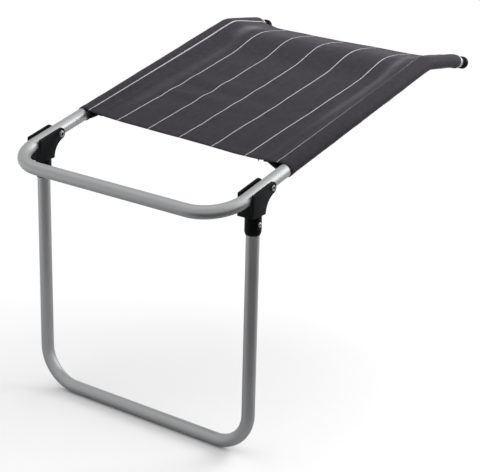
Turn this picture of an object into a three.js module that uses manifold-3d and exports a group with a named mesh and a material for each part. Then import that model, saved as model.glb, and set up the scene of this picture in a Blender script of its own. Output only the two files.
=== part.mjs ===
// Folding foot rest for a camping chair: a bent aluminium seat frame with a cloth sling, and a
// bent aluminium leg frame that hangs from two moulded hinge brackets and folds up under the seat.
// Millimetres and degrees. +X is to the right along the front bar, +Y to the back, +Z up.
// The origin is on the floor, below the middle of the floor bar.
import * as THREE from "three";
import { mergeVertices } from "three/addons/utils/BufferGeometryUtils.js";
import Module from "manifold-3d";

const wasm = await Module();
wasm.setup();

// Driving dimensions of the two frames
const frameWidth = 440; // between the two side tube axes, and between the two leg axes
const seatHeight = 457; // side tube axis above the floor, in the plane of the legs
const seatSlope = 11.3; // rise of the side tubes towards the back
const frontReach = 87.5; // from the plane of the legs to the front bar's axis, along the side tubes
const sideReach = 531; // from the plane of the legs to the bend at the back, along the side tubes
const tailReach = 115; // from that bend to the open tube end
const tailDrop = 19.9; // how far the bend turns the tubes down
const droopReach = 27; // from the second, slight bend to the open tube end
const tailDroop = 6.5; // how far the slight bend turns the tubes down
const cornerRadius = 65; // of the corners of both frames
const tailRadius = 60;
const droopRadius = 80;

// Tube
const tubeDiameter = 22;
const tubeWall = 1.5;
const tubeSides = 20;
const tubeRadius = tubeDiameter / 2;

// Clearances
const seatGap = 0.3; // between pieces that touch
const runningGap = 0.4; // between pieces that turn on each other
const overrun = 2; // how far a cut passes the face it opens

// Hinge bracket
const pivotSetback = 29; // from the plane of the legs back to the pivot
const cheekGap = 23.2; // between the two cheeks, which the side tube passes
const cheekWall = 4.4;
const lobeRadius = 10; // of the cheeks round the pivot
const bracketFront = 22; // from the leg axis to the bracket's front face
const shoulderDrop = 38.5; // from the pivot to the underside of the block
const sweepBehindPivot = 14; // centre of the hollow back edge, behind the pivot
const edgeBreak = 1; // chamfer round the cheeks
const foldGap = 1; // between the block and the side tube when folded
const socketWall = 2.35;
const socketLength = 33; // from the underside of the block to the socket's mouth
const socketChamferHeight = 5;
const socketChamferWidth = 1.6;
const legInsertion = 38; // length of leg tube inside the bracket

// Pivot rivet, a tube rolled over at both ends, with a washer under its inner end
const rivetDiameter = 6;
const rivetBore = 4.2;
const rivetHeadDiameter = 10;
const rivetHeadHeight = 1.6;
const rolledEndDiameter = 9;
const washerDiameter = 12;
const washerThickness = 1;

// Socket rivet, a blind rivet from outside through the socket and the leg tube
const pinDiameter = 4.8;
const pinBore = 2.4;
const pinHeadDiameter = 9;
const pinHeadHeight = 1.5;
const pinRimHeight = 0.5; // of the head's cylindrical rim, below its cone
const pinDrop = 15; // from the underside of the block to the rivet
const pinFlatDepth = 0.9; // of the flat that its head seats on

// End plug
const plugHeadDiameter = 22.4;
const plugLength = 27; // outside the tube
const plugNeckLength = 13; // of the shank that shows between the tube end and the head
const plugShankLength = 22; // inside the tube
const plugDome = 6; // how far the domed end stands past its rim
const plugLeadIn = 1;

// Sling
const clothThickness = 1.2;
const clothGap = 0.35; // between the side tubes and the sleeves round them
const sleeveFront = 97; // from the plane of the legs to the front hem
const sleeveTail = 105; // from the back bend to the sleeves' back ends
const hemHollow = 25; // how far the back hem is cut in at its middle
const seamInset = 36; // from a side tube's axis to the seam that closes its sleeve
const seamAllowance = 8; // cloth past the seam, under the panel
const hemFade = 110; // length over which the back hem's curve dies out
const hangStart = 3; // from a side tube's axis inwards to where the cloth starts to hang
const frontSag = 6; // how far the panel hangs below its sleeves at the front hem
const dipSag = 18.5; // the same at its lowest
const dipAhead = 96; // from the lowest place to the back bend
const crestSag = 13; // hang at the crest that follows
const crestAhead = 31; // from the crest to the back bend
const backSag = 13.5; // hang at the back hem

// Counts
const cornerSteps = 9;
const tailSteps = 4;
const droopSteps = 2;
const roundSides = 32; // of the socket and its cradle
const smallSides = 20; // of rivets, washers and their holes
const bracketSteps = 14; // of each arc of the cheeks
const sleeveSteps = 8;
const panelSteps = 5;
const departSteps = 4; // from the seam to where the cloth leaves the tube's top
const loadedSteps = 3; // from the front hem to the dip
const riseSteps = 2; // from the dip to the crest
const troughPower = 6; // how level the cloth hangs between its sleeves

const degrees = Math.PI / 180;
const halfWidth = frameWidth / 2;
const tubeCorner = tubeRadius / Math.cos(Math.PI / tubeSides);
const slope = seatSlope * degrees;
const pivotHeight = seatHeight + pivotSetback * Math.tan(slope);
const bracketBottom = pivotHeight - shoulderDrop;
const socketBottom = bracketBottom - socketLength;
const legTop = socketBottom + legInsertion;
const halfBracket = cheekGap / 2 + cheekWall;

const X = new THREE.Vector3(1, 0, 0);
const Y = new THREE.Vector3(0, 1, 0);
const Z = new THREE.Vector3(0, 0, 1);

const aluminium = { color: 0xb4b5b7, roughness: 0.38, metalness: 0.9 };
const blackPlastic = { color: 0x17191b, roughness: 0.55, metalness: 0 };
const rivetSteel = { color: 0xc4c6c9, roughness: 0.3, metalness: 1 };
const clothColour = { color: 0x4a484d, roughness: 0.9, metalness: 0 };

// A closed geometry as a solid that can be joined and cut.
function toSolid(geometry) {
  const bare = new THREE.BufferGeometry();
  bare.setAttribute("position", geometry.getAttribute("position"));
  bare.setIndex(geometry.getIndex());
  const merged = mergeVertices(bare);
  const vertProperties = new Float32Array(merged.getAttribute("position").array);
  const triVerts = new Uint32Array(merged.getIndex().array);
  return new wasm.Manifold(new wasm.Mesh({ numProp: 3, vertProperties, triVerts }));
}

function toGeometry(solid) {
  const mesh = solid.getMesh();
  const geometry = new THREE.BufferGeometry();
  geometry.setAttribute("position", new THREE.BufferAttribute(mesh.vertProperties, mesh.numProp));
  geometry.setIndex(new THREE.BufferAttribute(mesh.triVerts, 1));
  return geometry;
}

function namedMesh(name, geometry, look) {
  const shaded = geometry.getIndex() ? geometry.toNonIndexed() : geometry;
  shaded.computeVertexNormals();
  const mesh = new THREE.Mesh(shaded, new THREE.MeshStandardMaterial(look));
  mesh.name = name;
  return mesh;
}

// A round bar along X, centred on a point.
function roundBarX(radius, length, centre) {
  const bar = new THREE.CylinderGeometry(radius, radius, length, smallSides);
  bar.rotateZ(Math.PI / 2);
  bar.translate(centre.x, centre.y, centre.z);
  return toSolid(bar);
}

// One half of a bent tube's axis, laid out as a bender makes it: straight feeds and arcs, starting
// at the middle of a bar and heading to the right. The other half is its mirror image.
class BentAxis extends THREE.Curve {
  constructor(start, heading) {
    super();
    this.pieces = [];
    this.point = start.clone();
    this.heading = heading.clone();
    this.length = 0;
    this.runs = [];
  }

  add(length, turn, axis, steps) {
    const { point, heading } = this;
    this.pieces.push({ start: this.length, length, turn, axis, point, heading });
    for (let i = 1; i <= steps; i++) this.runs.push(this.length + (length * i) / steps);
    this.length += length;
    const end = this.poseAt(this.length);
    this.point = end.point;
    this.heading = end.heading;
    return this;
  }

  feed(length) {
    return this.add(length, 0, X, 1);
  }

  bend(radius, turn, axis, steps) {
    return this.add(radius * turn, turn, axis, steps);
  }

  // Point and heading after a run of tube, counted from the middle, to the left if negative.
  poseAt(run) {
    const side = Math.sign(run) || 1;
    const along = Math.abs(run);
    const piece = this.pieces.findLast((p) => p.start <= along) ?? this.pieces[0];
    const part = along - piece.start;
    const point = piece.point.clone();
    const heading = piece.heading.clone();
    if (piece.turn) {
      const radius = piece.length / piece.turn;
      const inward = new THREE.Vector3().crossVectors(piece.axis, heading);
      const turned = part / radius;
      heading.applyAxisAngle(piece.axis, turned);
      point.addScaledVector(piece.heading, radius * Math.sin(turned));
      point.addScaledVector(inward, radius * (1 - Math.cos(turned)));
    } else {
      point.addScaledVector(heading, part);
    }
    if (side < 0) {
      point.x *= -1;
      heading.set(heading.x, -heading.y, -heading.z);
    }
    return { point, heading };
  }

  // The whole tube from its left end to its right end, one station at each bend step.
  get stations() {
    return [...this.runs.map((run) => -run).reverse(), ...this.runs];
  }

  getPointAt(share) {
    const stations = this.stations;
    return this.poseAt(stations[Math.round(share * (stations.length - 1))]).point;
  }

  getTangentAt(share) {
    const stations = this.stations;
    return this.poseAt(stations[Math.round(share * (stations.length - 1))]).heading;
  }
}

// A regular polygon whose flats lie at a radius, with a flat on each main direction.
function polygon(radius) {
  const corner = radius / Math.cos(Math.PI / tubeSides);
  return Array.from({ length: tubeSides }, (_, i) => {
    const angle = ((2 * i + 1) * Math.PI) / tubeSides;
    return new THREE.Vector2(corner * Math.cos(angle), corner * Math.sin(angle));
  });
}

function bentTube(axis) {
  const section = new THREE.Shape(polygon(tubeRadius));
  section.holes.push(new THREE.Path(polygon(tubeRadius - tubeWall)));
  const steps = axis.stations.length - 1;
  return new THREE.ExtrudeGeometry(section, { steps, extrudePath: axis });
}

// Seat frame axis: front bar, corner, side tube, back bend, tail, slight bend, tube end
const seatNormal = Z.clone().applyAxisAngle(X, slope);
const seatAlong = Y.clone().applyAxisAngle(X, slope);
const tailBendTangent = tailRadius * Math.tan((tailDrop * degrees) / 2);
const droopBendTangent = droopRadius * Math.tan((tailDroop * degrees) / 2);
const sideStraight = frontReach + sideReach - cornerRadius - tailBendTangent;
const frontBarMiddle = new THREE.Vector3(0, 0, seatHeight).addScaledVector(seatAlong, -frontReach);
const seatAxis = new BentAxis(frontBarMiddle, X)
  .feed(halfWidth - cornerRadius)
  .bend(cornerRadius, Math.PI / 2, seatNormal, cornerSteps)
  .feed(sideStraight)
  .bend(tailRadius, tailDrop * degrees, X.clone().negate(), tailSteps)
  .feed(tailReach - droopReach - tailBendTangent - droopBendTangent)
  .bend(droopRadius, tailDroop * degrees, X.clone().negate(), droopSteps)
  .feed(droopReach - droopBendTangent);

// Runs along the seat frame are counted from the middle of the front bar.
const [, , sidePiece, backBend] = seatAxis.pieces;
const legPlaneRun = sidePiece.start + frontReach - cornerRadius;

// Leg frame axis: floor bar, corner, leg
const legAxis = new BentAxis(new THREE.Vector3(0, 0, tubeRadius), X)
  .feed(halfWidth - cornerRadius)
  .bend(cornerRadius, Math.PI / 2, Y.clone().negate(), cornerSteps)
  .feed(legTop - tubeRadius - cornerRadius);

const pivot = new THREE.Vector3(halfWidth, pivotSetback, pivotHeight);
const pinHeight = bracketBottom - pinDrop;

// The seat frame tube, drilled through both walls of each side tube for the pivot rivets.
function seatFrameTube() {
  const hole = rivetDiameter / 2 + runningGap;
  const length = tubeDiameter + 2 * overrun;
  let tube = toSolid(bentTube(seatAxis));
  for (const side of [-1, 1]) {
    tube = tube.subtract(roundBarX(hole, length, new THREE.Vector3(side * pivot.x, pivot.y, pivot.z)));
  }
  return namedMesh("seat_frame_tube", toGeometry(tube), aluminium);
}

// The leg frame tube, drilled through the outer wall of each leg for the socket rivets.
function legFrameTube() {
  let tube = toSolid(bentTube(legAxis));
  for (const side of [-1, 1]) {
    const centre = new THREE.Vector3(side * (halfWidth + tubeRadius), 0, pinHeight);
    tube = tube.subtract(roundBarX(pinDiameter / 2 + seatGap, tubeRadius, centre));
  }
  return namedMesh("leg_frame_tube", toGeometry(tube), aluminium);
}

// Side view of the bracket's cheeks, in Y and Z: straight front and top edges, a round lobe at the
// pivot, and a hollow back edge that runs from the lobe down to the block.
function cheekOutline() {
  const sweepCentre = new THREE.Vector2(pivotSetback + sweepBehindPivot, bracketBottom);
  const toSweep = sweepCentre.clone().sub(new THREE.Vector2(pivotSetback, pivotHeight));
  const sweepRadius = toSweep.length() - lobeRadius;
  const frontRise = (bracketFront + pivotSetback) * Math.tan(slope);
  const topEdge = lobeRadius / Math.cos(slope);
  const outline = new THREE.Shape();
  outline.moveTo(-bracketFront, bracketBottom);
  outline.lineTo(sweepCentre.x - sweepRadius, bracketBottom);
  outline.absarc(sweepCentre.x, sweepCentre.y, sweepRadius, Math.PI, toSweep.angle() - Math.PI, true);
  outline.absarc(pivotSetback, pivotHeight, lobeRadius, toSweep.angle() - 2 * Math.PI,
    Math.PI / 2 + slope, false);
  outline.lineTo(-bracketFront, pivotHeight - frontRise + topEdge);
  outline.closePath();
  return outline;
}

// The block with both cheeks, before the side tube's way through is cut.
function bracketBlock() {
  const block = new THREE.ExtrudeGeometry(cheekOutline(), {
    depth: 2 * (halfBracket - edgeBreak),
    bevelThickness: edgeBreak,
    bevelSize: edgeBreak,
    bevelOffset: -edgeBreak,
    bevelSegments: 1,
    curveSegments: bracketSteps,
  });
  block.translate(0, 0, edgeBreak - halfBracket);
  block.applyMatrix4(new THREE.Matrix4().makeBasis(Y, Z, X));
  return toSolid(block);
}

function bracketSocket() {
  const outer = tubeRadius + seatGap + socketWall;
  const top = bracketBottom + socketWall;
  const profile = [
    new THREE.Vector2(0, socketBottom),
    new THREE.Vector2(outer - socketChamferWidth, socketBottom),
    new THREE.Vector2(outer, socketBottom + socketChamferHeight),
    new THREE.Vector2(outer, top),
    new THREE.Vector2(0, top),
  ];
  const socket = new THREE.LatheGeometry(profile, roundSides);
  socket.rotateX(Math.PI / 2);
  return toSolid(socket);
}

// The bore that the leg tube is pushed into, a polygon like the tube.
function legBore() {
  const bore = new THREE.ExtrudeGeometry(new THREE.Shape(polygon(tubeRadius + seatGap)), {
    depth: legInsertion + seatGap + overrun,
    bevelEnabled: false,
  });
  bore.translate(0, 0, socketBottom - overrun);
  return toSolid(bore);
}

// The way of the side tube through the bracket: a cradle that fits under it at rest, the space
// above it, and the space behind the block that it swings through when the leg folds.
function sideTubeWay() {
  const reach = bracketFront + pivotSetback + lobeRadius + overrun;
  const cradle = new THREE.CylinderGeometry(cheekGap / 2, cheekGap / 2, 2 * reach, roundSides);
  const above = new THREE.BoxGeometry(cheekGap, 2 * reach, reach);
  above.translate(0, 0, reach / 2);
  const way = toSolid(cradle).add(toSolid(above));
  const turned = way.rotate([seatSlope, 0, 0]).translate([0, pivotSetback, pivotHeight]);
  const behind = new THREE.BoxGeometry(cheekGap, 2 * reach, 2 * reach);
  behind.translate(0, pivotSetback - tubeCorner - foldGap + reach, bracketBottom + reach);
  return turned.add(toSolid(behind));
}

// A hinge bracket with its leg axis on Z and its outer side to +X.
function hingeBracket(name) {
  const rivetHole = rivetDiameter / 2 + seatGap;
  const pinHole = pinDiameter / 2 + seatGap;
  const outer = tubeRadius + seatGap + socketWall;
  const flat = new THREE.BoxGeometry(outer, pinHeadDiameter + overrun, pinHeadDiameter + overrun);
  flat.translate(outer - pinFlatDepth + outer / 2, 0, pinHeight);
  const bracket = bracketBlock()
    .subtract(sideTubeWay())
    .add(bracketSocket())
    .subtract(legBore())
    .subtract(toSolid(flat))
    .subtract(roundBarX(rivetHole, 2 * halfBracket + overrun, new THREE.Vector3(0, pivot.y, pivot.z)))
    .subtract(roundBarX(pinHole, outer, new THREE.Vector3(outer, 0, pinHeight)));
  return namedMesh(name, toGeometry(bracket), blackPlastic);
}

// A ring turned round X, from a profile of [radius, x] corners given in order round the ring.
function turnedRing(name, corners, centre, look) {
  const profile = [...corners, corners[0]].map(([radius, x]) => new THREE.Vector2(radius, x));
  const ring = new THREE.LatheGeometry(profile, smallSides);
  ring.rotateZ(-Math.PI / 2);
  ring.translate(centre.x, centre.y, centre.z);
  return namedMesh(name, ring, look);
}

function pivotRivet(name) {
  const bore = rivetBore / 2;
  const shank = rivetDiameter / 2;
  const head = rivetHeadDiameter / 2;
  const rolled = rolledEndDiameter / 2;
  const outside = halfBracket + seatGap;
  const inside = -halfBracket - 2 * seatGap - washerThickness;
  const lip = rivetHeadHeight / 2;
  const corners = [
    [shank, inside],
    [shank, outside],
    [head, outside],
    [head, outside + lip],
    [shank + lip, outside + rivetHeadHeight],
    [bore + lip, outside + rivetHeadHeight],
    [bore, outside + lip],
    [bore, inside - lip],
    [bore + lip, inside - rivetHeadHeight],
    [shank + lip, inside - rivetHeadHeight],
    [rolled, inside - lip],
    [rolled, inside],
  ];
  return turnedRing(name, corners, new THREE.Vector3(0, pivot.y, pivot.z), rivetSteel);
}

function pivotWasher(name) {
  const hole = rivetDiameter / 2 + seatGap;
  const edge = washerDiameter / 2;
  const near = -halfBracket - seatGap;
  const far = near - washerThickness;
  const corners = [[edge, far], [edge, near], [hole, near], [hole, far]];
  return turnedRing(name, corners, new THREE.Vector3(0, pivot.y, pivot.z), rivetSteel);
}

function socketRivet(name) {
  const bore = pinBore / 2;
  const shank = pinDiameter / 2;
  const head = pinHeadDiameter / 2;
  const flat = tubeRadius + seatGap + socketWall - pinFlatDepth + seatGap;
  const inside = tubeRadius - tubeWall - seatGap;
  const corners = [
    [shank, inside],
    [shank, flat],
    [head, flat],
    [head, flat + pinRimHeight],
    [shank, flat + pinHeadHeight],
    [bore, flat + pinHeadHeight],
    [bore, inside],
  ];
  return turnedRing(name, corners, new THREE.Vector3(0, 0, pinHeight), rivetSteel);
}

// Bracket, rivets and washer of one side, laid out for the right and mirrored for the left.
function hinge(side, label) {
  const group = new THREE.Group();
  group.add(hingeBracket("hinge_bracket_" + label));
  group.add(pivotRivet("pivot_rivet_" + label));
  group.add(pivotWasher("pivot_washer_" + label));
  group.add(socketRivet("socket_rivet_" + label));
  group.position.x = side * halfWidth;
  group.scale.x = side;
  return group;
}

// A plug in a side tube's open end: a shank in the bore that stands out as a neck, and a round head
// with a domed end. It is turned round Z with the tube end at zero.
function endPlug(side, label) {
  const shank = tubeRadius - tubeWall - seatGap;
  const head = plugHeadDiameter / 2;
  const dome = new THREE.EllipseCurve(0, plugLength - plugDome, head, plugDome, 0, Math.PI / 2);
  const profile = [
    new THREE.Vector2(0, -plugShankLength),
    new THREE.Vector2(shank - plugLeadIn, -plugShankLength),
    new THREE.Vector2(shank, plugLeadIn - plugShankLength),
    new THREE.Vector2(shank, plugNeckLength),
    new THREE.Vector2(head - plugLeadIn, plugNeckLength),
    new THREE.Vector2(head, plugNeckLength + plugLeadIn),
    ...dome.getPoints(tailSteps),
  ];
  const plug = new THREE.LatheGeometry(profile, tubeSides);
  plug.rotateX(Math.PI / 2);
  plug.rotateZ(Math.PI / tubeSides);
  const end = seatAxis.poseAt(side * seatAxis.length);
  const outward = end.heading.multiplyScalar(side);
  const mesh = namedMesh("end_plug_" + label, plug, blackPlastic);
  mesh.position.copy(end.point);
  mesh.quaternion.setFromUnitVectors(Z, outward);
  return mesh;
}

// Steps that get closer towards the end.
function easeOut(share) {
  return share * (2 - share);
}

// The sling's cross-section, drawn at its right side tube and mirrored: x is measured from the middle of the
// sling and n from the tube axes, square to the cloth. Arc corners stand out so that the flats
// between them clear the tube.
function slingSection() {
  const arcStep = Math.PI / sleeveSteps;
  const inner = (tubeCorner + clothGap) / Math.cos(arcStep / 2);
  const outer = inner + clothThickness;
  const seamX = halfWidth - seamInset;
  const flapX = seamX - seamAllowance;
  // The cloth wraps the tube from its top, round the outside, to where it leaves for the seam.
  const leave = (radius, level) => {
    const reach = Math.hypot(seamInset, level);
    return Math.PI - Math.atan2(level, seamInset) + Math.acos(radius / reach) - 2 * Math.PI;
  };
  const wrap = (radius, level) => {
    const last = leave(radius, level);
    const steps = sleeveSteps;
    return Array.from({ length: steps + 1 }, (_, i) => {
      const angle = Math.PI / 2 + ((last - Math.PI / 2) * i) / steps;
      return new THREE.Vector2(halfWidth + radius * Math.cos(angle), radius * Math.sin(angle));
    });
  };
  const across = Array.from({ length: panelSteps }, (_, i) => seamX * easeOut(i / (panelSteps - 1)));
  const departing = Array.from({ length: departSteps }, (_, i) =>
    THREE.MathUtils.lerp(seamX, halfWidth - hangStart, easeOut((i + 1) / departSteps)));
  const top = [...across, ...departing].map((x) => new THREE.Vector2(x, outer));
  const under = across.filter((x) => x < flapX).map((x) => new THREE.Vector2(x, inner));
  const flapLevel = inner - clothThickness;
  const rightOuter = [
    ...top,
    ...wrap(outer, flapLevel),
    new THREE.Vector2(seamX, flapLevel),
    new THREE.Vector2(flapX, flapLevel),
    new THREE.Vector2(flapX, inner),
    ...under.reverse(),
  ];
  const rightBore = [
    ...wrap(inner, inner),
    new THREE.Vector2(seamX, inner),
    ...departing.map((x) => new THREE.Vector2(x, inner)),
  ];
  const mirror = (p) => new THREE.Vector2(-p.x, p.y);
  const leftOuter = rightOuter.slice(1, -1).map(mirror).reverse();
  return {
    outer: [...rightOuter, ...leftOuter],
    bores: [[...rightBore].reverse(), rightBore.map(mirror)],
  };
}

// How far the cloth hangs below its sleeves, x from the middle and run from the leg plane. It hangs
// like a trough, deeper towards the back, and rises to a crest just ahead of the back bend.
function sagAt(x, run) {
  const share = 1 - Math.min(1, Math.abs(x) / (halfWidth - hangStart)) ** troughPower;
  const { lerp, clamp, smoothstep } = THREE.MathUtils;
  const dip = sideReach - dipAhead;
  const crest = sideReach - crestAhead;
  const last = sideReach + sleeveTail;
  const ahead = lerp(frontSag, dipSag, clamp((run - sleeveFront) / (dip - sleeveFront), 0, 1));
  const behind = lerp(crestSag, backSag, clamp((run - crest) / (last - crest), 0, 1));
  return share * lerp(ahead, behind, smoothstep(run, dip, crest));
}

// Where the cloth at x lies along the side tubes, for a station given on the sleeves: the back hem
// is cut in.
function clothRun(x, run) {
  const hollow = Math.max(0, 1 - (x / halfWidth) ** 2);
  const nearBack = THREE.MathUtils.clamp(1 - (sideReach + sleeveTail - run) / hemFade, 0, 1);
  return run - hemHollow * hollow * nearBack;
}

// A point of the sling's section, placed on the frame.
function placeCloth(x, n, run) {
  const clothAt = clothRun(x, run);
  const pose = seatAxis.poseAt(legPlaneRun + clothAt);
  const up = new THREE.Vector3().crossVectors(X, pose.heading);
  return new THREE.Vector3(x, pose.point.y, pose.point.z).addScaledVector(up, n - sagAt(x, clothAt));
}

// The sling: one cloth from sleeve to sleeve, lofted through stations along the side tubes.
function slingCloth() {
  const section = slingSection();
  const bendRuns = seatAxis.runs.filter((run) => run >= backBend.start);
  const bends = bendRuns.map((run) => run - legPlaneRun);
  const last = sideReach + sleeveTail;
  const dip = sideReach - dipAhead;
  const loaded = Array.from({ length: loadedSteps }, (_, i) =>
    THREE.MathUtils.lerp(sleeveFront, dip, i / loadedSteps));
  const rise = Array.from({ length: riseSteps + 1 }, (_, i) =>
    THREE.MathUtils.lerp(dip, sideReach - crestAhead, i / riseSteps));
  const stations = [...loaded, ...rise, ...bends.filter((run) => run < last - clothThickness), last];
  const loops = [section.outer, ...section.bores];
  const positions = [];
  const ringSize = loops.reduce((sum, loop) => sum + loop.length, 0);
  for (const run of stations) {
    for (const p of loops.flat()) positions.push(...placeCloth(p.x, p.y, run).toArray());
  }
  const index = [];
  for (let s = 0; s + 1 < stations.length; s++) {
    let first = s * ringSize;
    for (const loop of loops) {
      for (let i = 0; i < loop.length; i++) {
        const a = first + i;
        const b = first + ((i + 1) % loop.length);
        index.push(a, b, a + ringSize, b, b + ringSize, a + ringSize);
      }
      first += loop.length;
    }
  }
  // A cap is laid out on the hanging section, where no three corners in a row are in line.
  const cap = (run) => {
    const hanging = loops.map((loop) =>
      loop.map((p) => new THREE.Vector2(p.x, p.y - sagAt(p.x, clothRun(p.x, run)))));
    return THREE.ShapeUtils.triangulateShape(hanging[0], hanging.slice(1));
  };
  const lastRing = (stations.length - 1) * ringSize;
  for (const [a, b, c] of cap(sleeveFront)) index.push(a, b, c);
  for (const [a, b, c] of cap(last)) index.push(lastRing + a, lastRing + c, lastRing + b);
  const geometry = new THREE.BufferGeometry();
  geometry.setAttribute("position", new THREE.Float32BufferAttribute(positions, 3));
  geometry.setIndex(index);
  return namedMesh("sling_cloth", geometry, clothColour);
}

const seat = new THREE.Group();
seat.add(seatFrameTube(), slingCloth(), endPlug(-1, "left"), endPlug(1, "right"));

const legFrame = new THREE.Group();
legFrame.add(legFrameTube(), hinge(-1, "left"), hinge(1, "right"));

const footRest = new THREE.Group();
footRest.add(seat, legFrame);

export default footRest;
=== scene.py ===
"""Folding foot rest for a camping chair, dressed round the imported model.

Round aluminium tubes, moulded hinge brackets, rivets, end plugs and a stitched cloth sling, on a
plain pale floor under soft studio light. Sizes are in metres in the part's own frame: +X to the
right along the front bar, +Y to the back, +Z up, with the origin on the floor below the floor bar.
"""

import logging
import math
from dataclasses import dataclass, field
from enum import Enum

import bmesh
import bpy
from mathutils import Matrix, Vector, noise


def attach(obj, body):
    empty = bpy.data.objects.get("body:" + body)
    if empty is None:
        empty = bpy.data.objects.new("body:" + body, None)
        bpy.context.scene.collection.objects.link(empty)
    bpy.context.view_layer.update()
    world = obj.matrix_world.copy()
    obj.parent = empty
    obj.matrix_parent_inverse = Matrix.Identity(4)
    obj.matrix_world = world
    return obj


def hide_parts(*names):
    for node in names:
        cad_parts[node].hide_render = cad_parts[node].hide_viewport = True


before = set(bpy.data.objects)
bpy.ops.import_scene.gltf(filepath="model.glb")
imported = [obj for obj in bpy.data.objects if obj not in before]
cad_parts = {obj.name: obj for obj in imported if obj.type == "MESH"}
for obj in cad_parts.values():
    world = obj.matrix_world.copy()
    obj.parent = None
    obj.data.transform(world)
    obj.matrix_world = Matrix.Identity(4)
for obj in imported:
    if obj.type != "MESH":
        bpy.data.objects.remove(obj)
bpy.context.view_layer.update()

logging.basicConfig(level=logging.INFO, format="%(message)s")
log = logging.getLogger("foot_rest")

Colour = tuple[float, float, float, float]
Place = tuple[float, float, float]
Profile = list[tuple[float, float]]
Material = bpy.types.Material
Node = bpy.types.Node
Socket = bpy.types.NodeSocket
Edge = bmesh.types.BMEdge
Vert = bmesh.types.BMVert

MM = 0.001
MERGE = 0.01 * MM  # corners nearer to each other than this are made one
ROUNDING = 1e-9
SHARP_ABOVE = 35  # degrees between two faces
X_AXIS = Vector((1, 0, 0))
Y_AXIS = Vector((0, 1, 0))
Z_AXIS = Vector((0, 0, 1))
MAP_RANGE = ("Value", "From Min", "From Max", "To Min", "To Max")


class Side(Enum):
    """The two sides of the foot rest, as seen from its front."""

    LEFT = -1
    RIGHT = 1

    @property
    def label(self) -> str:
        """The side's name in node names."""
        return self.name.lower()


class Body(Enum):
    """The two bodies that the leg hinge joins."""

    SEAT = "seat"
    LEGS = "leg_frame"


class Slot(Enum):
    """The material slots of the record."""

    TUBE = "tube"
    PLASTIC = "black_plastic"
    RIVET = "rivet"
    CLOTH = "cloth"


class Effect(Enum):
    """The shader groups that the finishes share, each built once."""

    UNEVEN = "Uneven tone"
    WEAR = "Edge wear"
    WEAVE = "Plain weave"


def smooth(share: float) -> float:
    """Eases a share, which is kept between 0 and 1, with a soft start and end."""
    t = min(1.0, max(0.0, share))
    return t * t * (3 - 2 * t)


def mix(low: float, high: float, share: float) -> float:
    """The value at a share of the way from low to high."""
    return low + (high - low) * share


def bump(distance: float, reach: float) -> float:
    """A soft bump, 1 at its middle and almost nothing at twice its reach."""
    return math.exp(-((distance / reach) ** 2))


def curve_through(knots: tuple[tuple[float, float], ...], at: float) -> float:
    """Follows a smooth curve through given places.

    Args:
        knots: Places and values, in order.
        at: The place asked for, which is kept within the knots.

    Returns:
        The curve's value there.
    """
    at = min(knots[-1][0], max(knots[0][0], at))
    i = max(k for k in range(len(knots) - 1) if knots[k][0] <= at)

    def slope(k: int) -> float:
        """The curve's slope at a knot."""
        before, after = knots[max(0, k - 1)], knots[min(len(knots) - 1, k + 1)]
        return (after[1] - before[1]) / (after[0] - before[0])

    (x0, y0), (x1, y1) = knots[i], knots[i + 1]
    width = x1 - x0
    t = (at - x0) / width
    ends = y0 * (1 + 2 * t) * (1 - t) ** 2 + y1 * t * t * (3 - 2 * t)
    return ends + width * t * (1 - t) * (slope(i) * (1 - t) - slope(i + 1) * t)


def facing(at: Vector, heading: Vector) -> Matrix:
    """A frame at a point, with its Z axis along a heading."""
    return Matrix.Translation(at) @ heading.to_track_quat("Z", "Y").to_matrix().to_4x4()


# Bent tubes


@dataclass
class Stretch:
    """One straight feed or one bend of a tube, as a bender makes it."""

    start: float
    length: float
    turn: float
    axis: Vector
    point: Vector
    heading: Vector

    @property
    def centre(self) -> Vector:
        """The point that a bend turns about."""
        return self.point + self.axis.cross(self.heading) * (self.length / self.turn)


class BentLine:
    """The right half of a tube's axis, from the middle of its bar to its end."""

    def __init__(self, start: Vector, heading: Vector) -> None:
        """Starts the line.

        Args:
            start: The middle of the bar.
            heading: The direction in which the bar leaves it.
        """
        self.stretches: list[Stretch] = []
        self.length = 0.0
        self._point, self._heading = start, heading

    def _add(self, length: float, turn: float, axis: Vector) -> "BentLine":
        """Adds a stretch at the end of the line.

        Args:
            length: Of the tube's axis.
            turn: Angle of a bend, or 0 for a straight stretch.
            axis: Direction of the turning axis.

        Returns:
            The line itself.
        """
        piece = Stretch(self.length, length, turn, axis, self._point, self._heading)
        self.stretches.append(piece)
        self.length += length
        self._point, self._heading = self.pose(self.length)
        return self

    def feed(self, length: float) -> "BentLine":
        """Adds a straight stretch."""
        return self._add(length, 0.0, X_AXIS)

    def bend(self, radius: float, turn: float, axis: Vector) -> "BentLine":
        """Adds an arc that turns by an angle in radians about the direction of an axis."""
        return self._add(radius * turn, turn, axis)

    def pose(self, run: float) -> tuple[Vector, Vector]:
        """Point and heading after a run of tube.

        Args:
            run: Length along the axis from the middle of the bar.

        Returns:
            The point and the unit heading there.
        """
        piece = [s for s in self.stretches if s.start <= run + ROUNDING][-1]
        part = run - piece.start
        if not piece.turn:
            return piece.point + piece.heading * part, piece.heading
        turned = Matrix.Rotation(part * piece.turn / piece.length, 3, piece.axis)
        return piece.centre + turned @ (piece.point - piece.centre), turned @ piece.heading


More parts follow.
